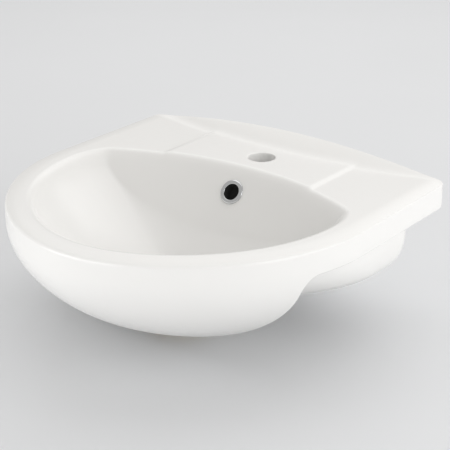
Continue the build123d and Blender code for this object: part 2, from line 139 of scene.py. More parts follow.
def quadratic(first: np.ndarray, corner: np.ndarray, last: np.ndarray, count: int) -> np.ndarray:
    """Rounded corner between two points, tangent to both legs.

    Args:
        first: Start points, one a column.
        corner: Sharp corner points.
        last: End points.
        count: Number of intervals.

    Returns:
        Inner rows of the round, without its two end rows.
    """
    t = np.linspace(0.0, 1.0, count + 1)[1:-1, None, None]
    return (1 - t) ** 2 * first + 2 * t * (1 - t) * corner + t**2 * last


def bezier(points: list[tuple[float, float]], count: int) -> np.ndarray:
    """Cubic curve through its first and last control points.

    Args:
        points: Four control points.
        count: Number of points wanted.

    Returns:
        Points of the curve.
    """
    t = np.linspace(0.0, 1.0, count)[:, None]
    a, b, c, d = (np.array(p) for p in points)
    return (1 - t) ** 3 * a + 3 * t * (1 - t) ** 2 * b + 3 * t**2 * (1 - t) * c + t**3 * d


@dataclass(frozen=True)
class DOutline:
    """Right half of a D in plan: straight back, rounded corner, side and curved front."""

    back_half: float
    half: float
    back_y: float
    corner: float
    shoulder_y: float
    front_y: float

    def points(self, count: int = 1600) -> np.ndarray:
        """Trace the half outline.

        Args:
            count: Number of evenly spaced points.

        Returns:
            Points from the middle of the back to the middle of the front.
        """
        apex = np.array([self.back_half, self.back_y])
        to_back = np.array([-1.0, 0.0])
        to_side = np.array([self.half, self.shoulder_y]) - apex
        to_side = to_side / np.linalg.norm(to_side)
        turn = math.acos(float(to_back @ to_side))
        bisector = (to_back + to_side) / np.linalg.norm(to_back + to_side)
        centre = apex + bisector * self.corner / math.sin(turn / 2)
        reach = self.corner / math.tan(turn / 2)
        first, last = apex + to_back * reach - centre, apex + to_side * reach - centre
        angles = np.linspace(math.atan2(first[1], first[0]), math.atan2(last[1], last[0]), 40)
        arc = centre + self.corner * np.stack([np.cos(angles), np.sin(angles)], axis=1)
        depth = self.shoulder_y - self.front_y
        nose = bezier([
            (self.half, self.shoulder_y),
            (self.half, self.shoulder_y - SIDE_FULLNESS * depth),
            (FRONT_FULLNESS * self.half, self.front_y),
            (0.0, self.front_y),
        ], 600)
        return resample(np.vstack([[[0.0, self.back_y]], arc, nose]), count)


class Polar:
    """Radius of a half outline about a point on the centre line, by angle from the back."""

    def __init__(self, points: np.ndarray, centre_y: float) -> None:
        """Store the outline.

        Args:
            points: Half outline from back to front.
            centre_y: Y of the pole.
        """
        offset = points - np.array([0.0, centre_y])
        self.angle = np.arctan2(offset[:, 0], offset[:, 1])
        self.radius = np.hypot(offset[:, 0], offset[:, 1])

    def __call__(self, angle: np.ndarray) -> np.ndarray:
        """Look the radius up.

        Args:
            angle: Angles from the back, 0 to pi.

        Returns:
            Radii.
        """
        return np.interp(angle, self.angle, self.radius)


class Skin:
    """Collects grids of points and turns them into one welded, smooth mesh."""

    def __init__(self, name: str) -> None:
        """Start an empty mesh.

        Args:
            name: Name of the piece.
        """
        self.name = name
        self.points: list[np.ndarray] = []
        self.faces: list[np.ndarray] = []
        self.total = 0

    def grid(self, points: np.ndarray, closed: bool = True, keep: np.ndarray | None = None) -> None:
        """Add a grid of points as quads.

        Args:
            points: Array of rows, columns and coordinates in millimetres.
            closed: Whether the last column joins the first.
            keep: Mask of the faces that stay.
        """
        rows, columns = points.shape[:2]
        index = np.arange(rows * columns).reshape(rows, columns) + self.total
        if closed:
            index = np.concatenate([index, index[:, :1]], axis=1)
        quads = np.stack([index[:-1, :-1], index[:-1, 1:], index[1:, 1:], index[1:, :-1]], axis=-1)
        if keep is not None:
            quads = quads[keep]
        self.points.append(points.reshape(-1, 3))
        self.faces.append(quads.reshape(-1, 4))
        self.total += rows * columns

    def build(self) -> bpy.types.Object:
        """Weld the grids.

        Returns:
            The piece, linked to the scene.
        """
        points = np.vstack(self.points) * METRES
        faces = np.vstack(self.faces)
        mesh = bpy.data.meshes.new(self.name)
        mesh.from_pydata(points.tolist(), [], faces.tolist())
        work = bmesh.new()
        work.from_mesh(mesh)
        bmesh.ops.remove_doubles(work, verts=work.verts, dist=WELD_DISTANCE)
        bmesh.ops.dissolve_degenerate(work, edges=work.edges, dist=WELD_DISTANCE / 2)
        bmesh.ops.recalc_face_normals(work, faces=work.faces)
        work.to_mesh(mesh)
        work.free()
        mesh.polygons.foreach_set("use_smooth", np.ones(len(mesh.polygons), dtype=bool))
        piece = bpy.data.objects.new(self.name, mesh)
        bpy.context.scene.collection.objects.link(piece)
        LOG.info("%s: %d faces", self.name, len(mesh.polygons))
        return piece


def mirrored(half: np.ndarray) -> np.ndarray:
    """Close a right-hand grid with its mirror image.

    Args:
        half: Grid whose first and last columns lie on the centre line.

    Returns:
        Grid that runs all the way round.
    """
    left = half[:, -2:0:-1].copy()
    left[..., 0] *= -1
    return np.concatenate([half, left], axis=1)


def face_centres(points: np.ndarray) -> np.ndarray:
    """Middles of a closed grid's faces.

    Args:
        points: Rows, columns and coordinates.

    Returns:
        One point a face.
    """
    wrapped = np.concatenate([points, points[:, :1]], axis=1)
    return (wrapped[:-1, :-1] + wrapped[:-1, 1:] + wrapped[1:, :-1] + wrapped[1:, 1:]) / 4


def lift(plan: np.ndarray, height: np.ndarray | float) -> np.ndarray:
    """Give plan points a height.

    Args:
        plan: Array whose last axis holds x and y.
        height: Heights, or one height for all.

    Returns:
        Array whose last axis holds x, y and z.
    """
    return np.concatenate([plan, np.broadcast_to(height, plan.shape[:-1])[..., None]], axis=-1)


class Bowl:
    """The bowl's hollow: a plan that shrinks about the drain, cut by the leaning back wall."""

    depth = 116.0
    floor_share = 0.15
    wall_radius = 390.0
    wall_slope = 0.71

    def __init__(self) -> None:
        """Trace the opening at the rim."""
        angles = np.linspace(math.pi / 2, 0.0, 400)
        rear = np.stack([195.0 * np.cos(angles), -200.0 + 120.0 * np.sin(angles)], axis=1)
        nose = bezier([(195.0, -200.0), (195.0, -200.0 - SIDE_FULLNESS * 212.0),
                       (FRONT_FULLNESS * 195.0, -412.0), (0.0, -412.0)], 800)
        self.opening = Polar(np.vstack([rear, nose[1:]]), DRAIN_Y)

    def radius(self, angle: np.ndarray, height: np.ndarray, wall: float = 0.0) -> np.ndarray:
        """Distance from the drain's axis to the surface.

        Args:
            angle: Angle from the back, 0 to pi.
            height: Height, down to the floor.
            wall: Thickness to add, for the outside of the shell.

        Returns:
            The lesser of the bowl's and the back wall's distances, with a crease that fades downwards.
        """
        depth_share = np.clip((RIM_TOP - height) / (self.depth + wall), 0.0, 1.0)
        size = 1 - (1 - self.floor_share) * depth_share**1.45
        bowl = size * self.opening(angle) + wall
        offset = DRAIN_Y - (-505.0 + self.wall_slope * (height - 29.0))
        cosine = np.cos(angle)
        reach = self.wall_radius + wall * math.hypot(1.0, self.wall_slope)
        back = -offset * cosine + np.sqrt(offset**2 * cosine**2 - offset**2 + reach**2)
        crease = 2.5 + 50.0 * smoothstep((0.0 - height) / 90.0)
        return smooth_min(bowl, back, crease)

    def point(self, angle: np.ndarray, height: np.ndarray, wall: float = 0.0) -> np.ndarray:
        """Point of the surface.

        Args:
            angle: Angle from the back.
            height: Height.
            wall: Thickness to add.

        Returns:
            Coordinates.
        """
        radius = self.radius(angle, height, wall)
        plan = np.stack(np.broadcast_arrays(radius * np.sin(angle), DRAIN_Y + radius * np.cos(angle)), axis=-1)
        return lift(plan, height)


class Pod:
    """The front pod: the rim's plan, which shrinks downwards about one point."""

    centre_y = -235.0
    top = 10.0
    span = 141.0
    notch_y = -283.0
    notch_radius = 20.0

    def __init__(self, outline: np.ndarray) -> None:
        """Store the rim's outline.

        Args:
            outline: Half outline from back to front.
        """
        self.outline = outline
        self.polar = Polar(outline, self.centre_y)
        front = outline[outline[:, 1] < self.centre_y]
        self.front_y, self.front_x = front[::-1, 1] - self.centre_y, front[::-1, 0]

    def across(self, share: np.ndarray) -> np.ndarray:
        """Share of the width left at a share of the depth."""
        return (1 - share**2.0) ** 0.6

    def along(self, share: np.ndarray) -> np.ndarray:
        """Share of the reach left at a share of the depth."""
        return (1 - share**1.8) ** 0.7

    def share(self, height: np.ndarray) -> np.ndarray:
        """Share of the depth at a height."""
        return (self.top - height) / self.span

    def notch_plan(self, height: np.ndarray) -> np.ndarray:
        """Y of the notch's surface: plumb, with a rounded top."""
        rise = np.clip(height + self.notch_radius, 0.0, self.notch_radius)
        return self.notch_y + self.notch_radius - np.sqrt(self.notch_radius**2 - rise**2)

    def shrink(self, plan: np.ndarray, height: np.ndarray) -> np.ndarray:
        """Carry rim points down the skin.

        Args:
            plan: Points of the rim's outline.
            height: Heights.

        Returns:
            Points at those heights.
        """
        share = self.share(height)
        y = np.where(plan[..., 1] < self.centre_y,
                     self.centre_y + (plan[..., 1] - self.centre_y) * self.along(share), plan[..., 1])
        return lift(np.stack([plan[..., 0] * self.across(share), y], axis=-1), height)

    def edge(self) -> np.ndarray:
        """Line where the skin meets the notch.

        Returns:
            Points from the lowest, on the centre line, up to the ledge.
        """
        lowest = (1 - (48.0 / 207.0) ** (1 / 0.7)) ** (1 / 1.8)
        shares = lowest - (lowest - self.share(0.0)) * np.linspace(0.0, 1.0, 800) ** 2
        height = self.top - self.span * shares
        y = self.notch_plan(height)
        x = self.across(shares) * np.interp((y - self.centre_y) / self.along(shares), self.front_y, self.front_x)
        return np.stack([x, y, height], axis=1)

    def profiles(self, tops: np.ndarray, ends: np.ndarray, count: int) -> np.ndarray:
        """Lines down the skin from the rim's underside level to the notch.

        Args:
            tops: Plan points at height 0, one a column.
            ends: Points on the notch's edge, one a column.
            count: Number of rows.

        Returns:
            Grid of points, found by halving until each lies on its section.
        """
        t = np.linspace(0.0, 1.0, count)[:, None]
        height = ends[None, :, 2] * t
        share = self.share(height)
        low, high = np.zeros_like(height), np.ones_like(height)
        start, run = tops[None, :, :2], (ends[:, :2] - tops[:, :2])[None]
        for _ in range(40):
            middle = (low + high) / 2
            plan = start + run * middle[..., None]
            x, y = plan[..., 0] / self.across(share), (plan[..., 1] - self.centre_y) / self.along(share)
            outside = np.hypot(x, y) > self.polar(np.arctan2(x, y))
            low, high = np.where(outside, middle, low), np.where(outside, high, middle)
        grid = lift(start + run * high[..., None], height)
        grid[0] = np.concatenate([tops[:, :2], np.zeros((len(tops), 1))], axis=1)
        grid[-1] = ends
        return grid


def recessed_outline(share: float, inset: float = 0.0) -> DOutline:
    """Plan of the recessed body.

    Args:
        share: Share of its depth.
        inset: Wall to leave out, for the inside.

    Returns:
        The outline, whose foot turns under.
    """
    across = (1 - share**4.2) ** 0.27
    half = 94.5 + 115.0 * across - inset
    back = -34.0 - 90.0 * (1 - across) - inset
    corner = 33.0 - inset
    shoulder = min(-190.0 + 110.0 * share, back - corner - 2.0)
    return DOutline(half, half, back, corner, shoulder, -235.0 - 173.0 * (1 - share**1.4) + inset)


@dataclass(frozen=True)
class Finish:
    """Look of one material."""

    name: str
    color: tuple[float, float, float]
    variation: float
    roughness: float
    metallic: float = 0.0
    coat: float = 0.0
    grain_scale: float = 400.0
    bump: float = 0.05
    bump_depth: float = 0.0002
    specular: float = 0.5

    def material(self) -> bpy.types.Material:
        """Build the node tree.

        Returns:
            Material with mottled colour, uneven roughness and a fine bump.
        """
        made = bpy.data.materials.new(self.name)
        made.use_nodes = True
        nodes, links = made.node_tree.nodes, made.node_tree.links
        shader = nodes["Principled BSDF"]
        shader.inputs["Metallic"].default_value = self.metallic
        shader.inputs["Coat Weight"].default_value = self.coat
        shader.inputs["Coat Roughness"].default_value = 0.04
        shader.inputs["Specular IOR Level"].default_value = self.specular
        place = nodes.new("ShaderNodeTexCoord")
        cloud = nodes.new("ShaderNodeTexNoise")
        cloud.inputs["Scale"].default_value = self.grain_scale / 20
        cloud.inputs["Detail"].default_value = 3.0
        grain = nodes.new("ShaderNodeTexNoise")
        grain.inputs["Scale"].default_value = self.grain_scale
        grain.inputs["Detail"].default_value = 2.0
        for texture in (cloud, grain):
            links.new(place.outputs["Object"], texture.inputs["Vector"])
        ramp = nodes.new("ShaderNodeValToRGB")
        ramp.color_ramp.elements[0].position = 0.3
        ramp.color_ramp.elements[1].position = 0.7
        ramp.color_ramp.elements[0].color = (*[c * (1 - self.variation) for c in self.color], 1.0)
        ramp.color_ramp.elements[1].color = (*[min(c * (1 + self.variation), 1.0) for c in self.color], 1.0)
        links.new(cloud.outputs["Fac"], ramp.inputs["Fac"])
        links.new(ramp.outputs["Color"], shader.inputs["Base Color"])
        rough = nodes.new("ShaderNodeMapRange")
        rough.inputs["To Min"].default_value = self.roughness * 0.8
        rough.inputs["To Max"].default_value = self.roughness * 1.2
        links.new(grain.outputs["Fac"], rough.inputs["Value"])
        links.new(rough.outputs["Result"], shader.inputs["Roughness"])
        bump = nodes.new("ShaderNodeBump")
        bump.inputs["Strength"].default_value = self.bump
        bump.inputs["Distance"].default_value = self.bump_depth
        links.new(grain.outputs["Fac"], bump.inputs["Height"])
        links.new(bump.outputs["Normal"], shader.inputs["Normal"])
        return made


GLAZE = Finish("white_glaze", (0.865, 0.86, 0.845), 0.006, 0.24, grain_scale=120.0,
               bump=0.02, bump_depth=0.0003)
# Near-black colour painted on the duct's liner: painted shade that makes the overflow bore read dark.
DUCT_PAINTED_SHADE = Finish("duct_painted_shade", (0.02, 0.02, 0.02), 0.2, 0.9, grain_scale=900.0, bump=0.4)
CHROME = Finish("polished_chrome", (0.62, 0.63, 0.64), 0.01, 0.08, metallic=1.0, grain_scale=900.0, bump=0.01)
BRASS = Finish("machined_brass", (0.78, 0.58, 0.26), 0.05, 0.28, metallic=1.0, grain_scale=1500.0, bump=0.1)
BLACK_RUBBER = Finish("black_rubber", (0.02, 0.02, 0.021), 0.12, 0.65, grain_scale=1800.0, bump=0.3)
GREY_RUBBER = Finish("grey_rubber", (0.30, 0.31, 0.31), 0.06, 0.6, grain_scale=1800.0, bump=0.25)
PLASTIC = Finish("natural_plastic", (0.80, 0.80, 0.75), 0.02, 0.4, grain_scale=1200.0, bump=0.1)
STEEL = Finish("spring_steel", (0.60, 0.60, 0.58), 0.05, 0.3, metallic=1.0, grain_scale=2500.0, bump=0.1)


def dress(piece: bpy.types.Object, material: bpy.types.Material) -> None:
    """Give a piece one material.

    Args:
        piece: Object to dress.
        material: Its material.
    """
    piece.data.materials.clear()
    piece.data.materials.append(material)


@dataclass
class Ceramic:
    """Glazed casting: bowl, deck, rim, pod, ledge, recessed body and hollow underside."""

    material: bpy.types.Material
    # Material of painted shade for the overflow bore.
    duct_shade_material: bpy.types.Material

    tap_y = -67.0
    tap_radius = 17.5
    tap_round = 2.0
    cell = 2.5
    inner_ring = 6
    outer_ring = 12
    recess_radius = 33.0
    recess_floor = -87.5
    platform_half = 112.0
    platform_rise = 1.8

    def build(self) -> None:
        """Make both glazed pieces and the duct's liner of painted shade."""
        self.bowl = Bowl()
        self.outline = DOutline(229.0, 232.0, 0.0, 9.0, -193.0, -442.0).points(3000)
        self.pod = Pod(self.outline)
        self.place_columns()
        for piece in (self.shell(), self.recessed_body()):
            dress(piece, self.material)
            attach(piece, Body.BASIN.value)
            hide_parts("basin_body")
        # The duct's liner is painted shade: a near-black sleeve that darkens the overflow bore.
        shade_liner = self.duct_shade_liner()
        dress(shade_liner, self.duct_shade_material)
        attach(shade_liner, Body.BASIN.value)

    def place_columns(self) -> None:
        """Pair points of the bowl's lip with points of the rim's outline, one pair a column."""
        fine = np.linspace(0.0, math.pi, 6000)
        lip = self.bowl.point(fine, RIM_TOP)[:, :2]
        lip_run, out_run = arclength(lip), arclength(self.outline)
        corner = int(np.argmax(lip[:, 0] > 0.999 * lip[: len(fine) // 2, 0].max()))
        straight = self.cell * np.arange(52)
        lip_straight = np.interp(straight, lip[:corner, 0], lip_run[:corner])
        side = out_run[np.argmax((self.outline[:, 1] < -150.0))]
        fan = np.linspace(0.0, 1.0, 62)[1:]
        nose = np.linspace(0.0, 1.0, 109)[1:]
        lip_at = np.concatenate([
            lip_straight,
            lip_straight[-1] + (lip_run[corner] - lip_straight[-1]) * fan,
            lip_run[corner] + (lip_run[-1] - lip_run[corner]) * nose,
        ])
        self.out_at = np.concatenate([
            straight,
            straight[-1] + (side - straight[-1]) * fan,
            side + (out_run[-1] - side) * nose,
        ])
        self.angle = np.interp(lip_at, lip_run, fine)
        self.rim = travel(self.outline, self.out_at)

    def deck_height(self, plan: np.ndarray) -> np.ndarray:
        """Height of the deck: crown at the rim's edge, tap platform and upstand.

        Args:
            plan: Points in plan.

        Returns:
            Heights. The crown falls with the square of the distance to the outer edge.
        """
        edge = self.outline[(self.outline[:, 1] < -8.0)][::6]
        flat = plan.reshape(-1, 2)
        gap = np.concatenate([
            np.sqrt(((part[:, None] - edge[None]) ** 2).sum(-1)).min(1) for part in np.array_split(flat, 60)
        ]).reshape(plan.shape[:-1])
        height = RIM_TOP - 3.0 * np.maximum(1 - gap / 22.0, 0.0) ** 2
        platform = smoothstep((self.platform_half + 4.0 - np.abs(plan[..., 0])) / 8.0)
        behind = smoothstep((-8.0 - plan[..., 1]) / 8.0) * (plan[..., 1] > DRAIN_Y)
        height = height + self.platform_rise * platform * behind
        cone_radius = (215.0**2 + 31.0**2) / 62.0
        reach = np.hypot(plan[..., 0], plan[..., 1] - (cone_radius - 31.0))
        upstand = RIM_TOP + (cone_radius - reach) * 18.5 / 31.0
        return -smooth_min(-height, -upstand, 4.0)

    def shell(self) -> bpy.types.Object:
        """Bowl, deck, rim, pod and ledge in one grid of columns.

        Returns:
            The piece.
        """
        lip_height = self.deck_height(self.bowl.point(self.angle, RIM_TOP)[:, :2])
        lip = self.bowl.point(self.angle, lip_height)
        lip_reach = 5.0 + 2.0 * smoothstep((self.angle - 0.7) / 1.0)
        fall_reach = 17.0 + 11.0 * smoothstep((self.angle - 0.2) / 0.4) - 18.0 * smoothstep(self.angle - 0.8)

        depth = np.linspace(0.0, 1.0, 300)[:, None]
        levels = lip_height - (lip_height + 81.9) * depth
        radii = self.bowl.radius(self.angle[None], levels)
        lowest = np.array([np.interp(-self.recess_radius, -radii[:, j], levels[:, j])
                           for j in range(len(self.angle))])
        levels = lip_height - (lip_height - lowest) * depth
        walls = self.bowl.point(self.angle[None], levels)
        bowl_rows = np.stack([resample(walls[:, j], 66, fall_reach[j]) for j in range(len(self.angle))], axis=1)

        rim_y = self.rim[:, 1]
        edge_reach = 1.6 + 2.4 * smoothstep((-235.0 - rim_y) / 90.0)
        run = self.rim - lip[:, :2]
        length = np.linalg.norm(run, axis=1)
        tangent = np.gradient(lip[:, :2], axis=0)
        tangent = tangent / np.linalg.norm(tangent, axis=1, keepdims=True)
        first = lip[:, :2] + np.stack([-tangent[:, 1], tangent[:, 0]], axis=1) * lip_reach[:, None]
        last = self.rim - run * (edge_reach / length)[:, None]
        block = self.tap_y + self.cell * np.arange(-self.outer_ring, self.outer_ring + 1)
        nominal_y = np.concatenate([
            np.linspace(first[0, 1], block[0], 4)[:-1], block, np.linspace(block[-1], last[0, 1], 15)[1:],
        ])
        share = ((nominal_y - first[0, 1]) / (last[0, 1] - first[0, 1]))[:, None, None]
        deck_plan = first + (last - first) * share
        centre_row = 3 + self.outer_ring
        ring = np.maximum(np.abs(np.arange(len(nominal_y)) - centre_row)[:, None],
                          np.arange(len(self.angle))[None])
        near = ring <= self.outer_ring
        square = np.stack(np.broadcast_arrays(
            self.cell * np.arange(len(self.angle))[None].astype(float),
            self.cell * (np.arange(len(nominal_y)) - centre_row)[:, None].astype(float)), axis=-1)
        norm = np.maximum(np.linalg.norm(square, axis=-1), 1e-6)
        hole_edge = self.tap_radius + self.tap_round
        circle = square * ((hole_edge + (ring - self.inner_ring) * 2.1) / norm)[..., None]
        circle[..., 1] += self.tap_y
        blend = smoothstep((ring - self.inner_ring) / (self.outer_ring - self.inner_ring))[..., None]
        deck_plan = np.where(near[..., None], circle * (1 - blend) + deck_plan * blend, deck_plan)
        deck_rows = lift(deck_plan, self.deck_height(deck_plan))
        lip_rows = quadratic(bowl_rows[0], lip, deck_rows[0], 7)[::-1]

        rim_top = self.deck_height(self.rim)
        rim_corner = lift(self.rim, rim_top)
        below = lift(self.rim, rim_top - edge_reach)
        edge_rows = quadratic(deck_rows[-1], rim_corner, below, 7)
        drop = np.linspace(0.0, 1.0, 7)[:, None]
        side_rows = lift(np.broadcast_to(self.rim, (7,) + self.rim.shape),
                         below[None, :, 2] * (1 - drop) + Pod.top * drop)
        skin_rows, edge, under = self.skirt()
        round_rows = quadratic(skin_rows[-1], edge, under[0], 5)

        rows = [bowl_rows[::-1], lip_rows[::-1], deck_rows, edge_rows, side_rows, skin_rows[1:], round_rows, under]
        full = np.concatenate(rows)
        start = len(bowl_rows) + len(lip_rows)
        rings = np.full(full.shape[:2], 999)
        rings[start:start + len(deck_rows)] = ring
        closed = mirrored(full)
        rings = np.concatenate([rings, rings[:, -2:0:-1]], axis=1)
        wrapped = np.concatenate([rings, rings[:, :1]], axis=1)
        worst = np.maximum.reduce([wrapped[:-1, :-1], wrapped[:-1, 1:], wrapped[1:, :-1], wrapped[1:, 1:]])
        from_ring = np.linalg.norm(face_centres(closed) - np.array([0.0, -130.62, 7.0]), axis=-1)
        keep = (worst > self.inner_ring) & (from_ring > 13.5)

        skin = Skin("basin_skin")
        skin.grid(closed, keep=keep)
        at_ring = closed[rings == self.inner_ring]
        self.tap_hole(skin, at_ring)
        self.outlet(skin, closed[0])
        return skin.build()

    def tap_hole(self, skin: Skin, loop: np.ndarray) -> None:
        """Rounded lip and wall of the tap hole.

        Args:
            skin: Mesh to add to.
            loop: Points of the deck round the hole.
        """
        angles = np.arctan2(loop[:, 1] - self.tap_y, loop[:, 0])
        loop = loop[np.argsort(angles)]
        angles = np.sort(angles)
        unit = np.stack([np.cos(angles), np.sin(angles)], axis=1)
        wall = np.array([0.0, self.tap_y]) + self.tap_radius * unit
        corner = lift(wall, loop[:, 2])
        lower = lift(wall, loop[:, 2] - self.tap_round)
        foot = lift(wall, 18.0)
        skin.grid(np.concatenate([loop[None], quadratic(loop, corner, lower, 5), lower[None], foot[None]]))

    def outlet(self, skin: Skin, loop: np.ndarray) -> None:
        """Recess for the waste's flange and the outlet's bore.

        Args:
            skin: Mesh to add to.
            loop: Lowest points of the bowl.
        """
        axis = np.array([0.0, DRAIN_Y])
        unit = (loop[:, :2] - axis) / self.recess_radius
        rows = [loop]
        for radius, height in ((32.8, -86.5), (32.0, self.recess_floor), (24.0, self.recess_floor),
                               (23.0, self.recess_floor - 1.0), (23.0, -112.0), (24.0, -113.0)):
            rows.append(lift(axis + unit * radius, height))
        skin.grid(np.stack(rows))

    def skirt(self) -> tuple[np.ndarray, np.ndarray, np.ndarray]:
        """Skin below the rim, its lower edge and the surface that the edge turns into.

        Returns:
            Rows of the skin, the sharp edge, and rows of the ledge or the notch.
        """
        rows = 54
        reach = 2.4
        pod = self.pod
        levels = np.linspace(Pod.top, 0.0, 12)[:, None]
        upper = pod.shrink(np.broadcast_to(self.rim, (12,) + self.rim.shape), levels)
        tops = upper[-1]
        ledge_y = Pod.notch_y + Pod.notch_radius
        front = tops[:, 1] < ledge_y
        to_nose = arclength(self.outline)[-1] - self.out_at
        turn = np.interp(ledge_y, tops[::-1, 1], to_nose[::-1])
        line = pod.edge()
        line_run = arclength(line)
        at = np.clip(to_nose / turn, 0.0, 1.0) * line_run[-1]
        ends = np.where(front[:, None], travel(line, at), tops)
        lower = np.array(upper[-1:]).repeat(120, axis=0)
        lower[:, front] = pod.profiles(tops[front], ends[front], 120)
        whole = np.concatenate([upper, lower[1:]])
        skin = np.zeros((rows, len(tops), 3))
        cut = np.zeros(len(tops))
        for j in range(len(tops)):
            length = arclength(whole[:, j])[-1]
            skin[:, j] = travel(whole[:, j], np.linspace(0.0, length - reach, rows))
            cut[j] = length
        inner = self.inner_edge(line, line_run, at, front, tops)
        run = inner - ends
        span = np.linalg.norm(run, axis=1)
        start = ends + run * (reach / span)[:, None]
        t = np.linspace(0.0, 1.0, 7)[:, None, None]
        return skin, ends, start + (inner - start) * t

    def inner_edge(self, line: np.ndarray, line_run: np.ndarray, at: np.ndarray,
                   front: np.ndarray, tops: np.ndarray) -> np.ndarray:
        """Points on the recessed body that the ledge and the notch run up to.

        Args:
            line: Edge between the pod and the notch.
            line_run: Its running length.
            at: Each column's length along it.
            front: Which columns end on it.
            tops: Each column's point at the ledge's level.

        Returns:
            One point a column, just inside the recessed body's wall.
        """
        ledge_y = Pod.notch_y + Pod.notch_radius
        top = recessed_outline(0.0, 1.0).points()
        top_run = arclength(top)
        side_end = np.interp(-ledge_y, -top[:, 1], top_run)
        out_end = np.interp(ledge_y, tops[::-1, 1], self.out_at[::-1])
        ledge = lift(travel(top, np.clip(self.out_at / out_end, 0.0, 1.0) * side_end), 0.0)
        arc = line[:, 2] > -Pod.notch_radius
        bend = line_run[int(np.argmax(arc))]
        lowest = (48.0 / 173.0)
        deepest = (1 - lowest) ** (1 / 1.4)
        plane = []
        for share in np.linspace(deepest - 1e-3, Pod.notch_radius / 79.0, 60):
            points = recessed_outline(float(share), 1.0).points(400)
            plane.append((np.interp(-Pod.notch_y, -points[:, 1], points[:, 0]), Pod.notch_y, -79.0 * share))
        plane_line = np.array([(0.0, Pod.notch_y, -79.0 * deepest)] + plane)
        across, along = plane_line[:, 0], Pod.notch_y - DRAIN_Y
        levels = np.linspace(30.0, -81.0, 200)[:, None]
        surface = self.bowl.radius(np.arctan2(across, along)[None], levels)
        highest = [np.interp(5.0 - reach, -surface[:, j], levels[:, 0])
                   for j, reach in enumerate(np.hypot(across, along))]
        plane_line[:, 2] = np.minimum(plane_line[:, 2], highest)
        on_plane = travel(plane_line, np.clip(at / bend, 0.0, 1.0) * arclength(plane_line)[-1])
        height = np.interp(at, line_run, line[:, 2])
        y = self.pod.notch_plan(height)
        on_arc = []
        for level, depth in zip(height, y):
            points = recessed_outline(float(np.clip(-level / 79.0, 0.0, 0.9)), 1.0).points(400)
            on_arc.append((np.interp(-depth, -points[:, 1], points[:, 0]), depth, level))
        notch = np.where((at > bend)[:, None], np.array(on_arc), on_plane)
        return np.where(front[:, None], notch, ledge)

    def recessed_body(self) -> bpy.types.Object:
        """Outside and hollow inside of the recessed body, with the bowl's outside and the outlet.

        Returns:
            The piece.
        """
        skin = Skin("basin_underside")
        shares = np.concatenate([np.linspace(0.0, 0.6, 10), np.linspace(0.63, 0.95, 22)])
        outer = np.stack([lift(recessed_outline(float(s)).points(110), -79.0 * s) for s in shares])
        pole = -150.0
        angles = np.linspace(0.0, math.pi, 110)

        def ring(radius: np.ndarray, height: np.ndarray | float) -> np.ndarray:
            """Half ring of points about the pole."""
            return lift(np.stack([radius * np.sin(angles), pole + radius * np.cos(angles)], axis=1), height)

        access = np.minimum(104.0 / np.maximum(np.cos(angles), 1e-3), 90.0 / np.maximum(np.sin(angles), 1e-3))
        access = np.where(np.cos(angles) > 0.15, access, 0.0)
        trial = np.linspace(0.5, 0.95, 46)
        reach = np.stack([Polar(recessed_outline(float(s)).points(), pole)(angles) for s in trial])
        ends = np.where(reach > access + 0.5, trial[:, None], 0.0).max(axis=0)
        edge = np.stack([np.interp(end, trial, reach[:, j]) for j, end in enumerate(ends)])
        foot = -79.0 * ends
        inner = []
        for share in np.array([0.95, 0.93, 0.9, 0.85, 0.8, 0.7, 0.6, 0.4, 0.2, 0.0]):
            hollow = Polar(recessed_outline(float(share), 12.0).points(), pole)(angles)
            inner.append(ring(np.maximum(hollow, access), -2.0 + (foot + 2.0) * share / 0.95))
        deck = np.minimum(104.0 / np.maximum(np.cos(angles), 1e-3), 185.5 / np.maximum(np.sin(angles), 1e-3))
        deck = np.where(np.cos(angles) > 0.18, deck, Polar(recessed_outline(0.0, 12.0).points(), pole)(angles))
        ceiling = np.where(np.cos(angles) > 0.18, 18.0, -2.0)
        high = lift(ring(deck, 0.0)[:, :2], ceiling)
        low = ring(deck, -2.0)
        middle = lift(ring(np.full_like(angles, 30.0), 0.0)[:, :2], ceiling)
        turn_in = np.stack([ring(edge, foot), ring(edge - 0.5, foot - 0.3), inner[0]])
        for part in (outer, turn_in, np.stack(inner + [low, high])):
            whole = mirrored(part)
            skin.grid(whole, keep=self.clear_of_bowl(whole) & ((part is not outer) | self.clear_of_access(whole)))
        self.shell_underside(skin)
        return skin.build()

    def clear_of_bowl(self, points: np.ndarray) -> np.ndarray:
        """Which faces of a closed grid lie outside the bowl's hollow.

        Args:
            points: The grid's points.

        Returns:
            Mask of the faces. The cut runs inside the bowl's wall.
        """
        centre = face_centres(points)
        across, along = np.abs(centre[..., 0]), centre[..., 1] - DRAIN_Y
        surface = self.bowl.radius(np.arctan2(across, along), centre[..., 2])
        return np.hypot(across, along) > surface + 6.0

    @staticmethod
    def clear_of_access(points: np.ndarray) -> np.ndarray:
        """Which faces of a closed grid lie outside the cut that gives a hand access to the tap.

        Args:
            points: The grid's points.

        Returns:
            Mask of the faces.
        """
        centre = face_centres(points)
        return (np.abs(centre[..., 0]) > 90.0) | (centre[..., 1] > -46.0) | (centre[..., 1] < -140.0)

